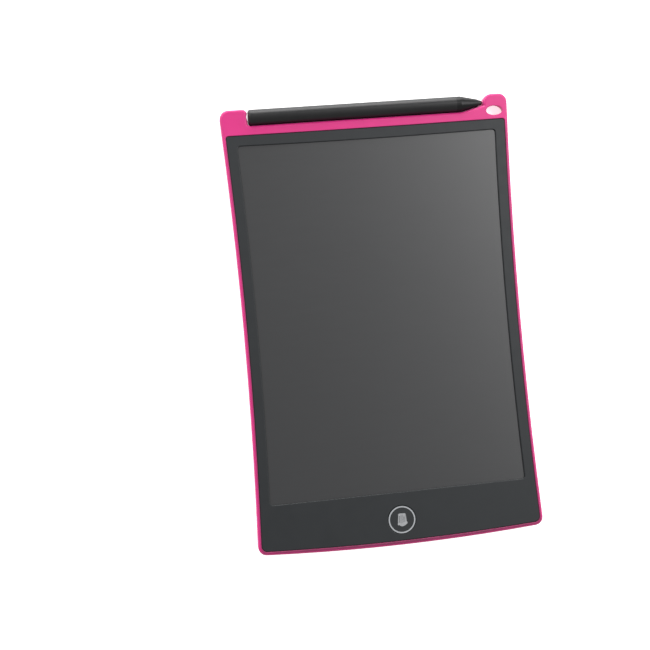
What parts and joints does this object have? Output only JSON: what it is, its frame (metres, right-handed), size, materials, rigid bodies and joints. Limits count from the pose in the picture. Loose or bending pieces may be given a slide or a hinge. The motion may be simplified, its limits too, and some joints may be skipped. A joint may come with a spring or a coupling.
{
  "type": "lcd writing tablet",
  "caption": "Thin handheld LCD writing tablet with a waisted case, an erase button in the chin, a battery door and a stylus cradled along the top edge.",
  "frame": {"origin": "middle of the bottom of the bounding box: the tablet lies on its back on Z = 0", "axes": "+X to the right of the screen, +Y from the erase button towards the stylus, +Z out of the screen"},
  "size_m": [0.147, 0.224, 0.0081],
  "materials": {
    "shell_plastic": "satin injection-moulded ABS, magenta pink",
    "bezel_plastic": "satin injection-moulded ABS, charcoal",
    "display_film": "smooth clear film over a dark layer",
    "crystal": "dark liquid-crystal layer",
    "edge_seal": "cured sealant",
    "display_rear": "black-backed film",
    "backing": "plain styrene sheet",
    "adhesive": "double-sided foam tape",
    "flex_film": "amber polyimide film",
    "board_laminate": "green solder mask over glass laminate",
    "screw_steel": "zinc-plated steel",
    "chip_body": "moulded epoxy",
    "ferrite": "sintered ferrite",
    "diode_body": "moulded epoxy",
    "capacitor_ceramic": "tan ceramic with tinned ends",
    "resistor_ceramic": "black-glazed ceramic with tinned ends",
    "switch_plastic": "moulded nylon",
    "dome_steel": "spring steel",
    "plunger_plastic": "moulded nylon",
    "button_plastic": "satin ABS with a printed ring and pictogram",
    "cell_steel": "nickel-plated steel can",
    "contact_steel": "nickel-plated spring steel",
    "door_plastic": "satin injection-moulded ABS, magenta pink",
    "stylus_barrel_plastic": "semi-gloss black ABS",
    "stylus_cap_plastic": "semi-gloss black ABS",
    "stylus_cone_plastic": "semi-gloss black ABS",
    "nib_plastic": "hard black acetal"
  },
  "bodies": {
    "tablet": {"rear_shell": "shell_plastic", "front_bezel": "bezel_plastic", "display_front_film": "display_film", "liquid_crystal_layer": "crystal", "display_edge_seal": "edge_seal", "display_rear_film": "display_rear", "backing_plate": "backing", "adhesive_frame": "adhesive", "flex_connector": "flex_film", "circuit_board": "board_laminate", "board_screws": "screw_steel", "controller_chip": "chip_body", "boost_inductor": "ferrite", "rectifier_diode": "diode_body", "capacitors": "capacitor_ceramic", "resistors": "resistor_ceramic", "switch_body": "switch_plastic", "switch_dome": "dome_steel", "coin_cell": "cell_steel", "positive_contact": "contact_steel", "negative_contact": "contact_steel"},
    "erase_key": {"erase_button": "button_plastic"},
    "plunger": {"switch_plunger": "plunger_plastic"},
    "battery_hatch": {"battery_door": "door_plastic", "door_screw": "screw_steel"},
    "stylus": {"stylus_barrel": "stylus_barrel_plastic", "stylus_end_cap": "stylus_cap_plastic", "stylus_cone": "stylus_cone_plastic", "stylus_nib": "nib_plastic"}
  },
  "joints": [
    {"name": "button_press", "type": "slide", "parent": "tablet", "child": "erase_key", "axis": [0, 0, -1], "range_m": [0, 0.0003], "stiffness_N_per_m": 400, "springref_m": -0.0005},
    {"name": "plunger_press", "type": "slide", "parent": "tablet", "child": "plunger", "axis": [0, 0, -1], "range_m": [0, 0.0003], "deforming": ["switch_dome"]},
    {"name": "battery_door_hinge", "type": "hinge", "parent": "tablet", "child": "battery_hatch", "pos_m": [-0.0489, -0.0998, 0], "axis": [0, 1, 0], "range_deg": [0, 70]},
    {"name": "stylus_lift", "type": "slide", "parent": "tablet", "child": "stylus", "axis": [0, 0, 1], "range_m": [0, 0.02]}
  ],
  "couplings": [
    {"joint": "plunger_press", "follows": "button_press", "ratio": 1}
  ]
}
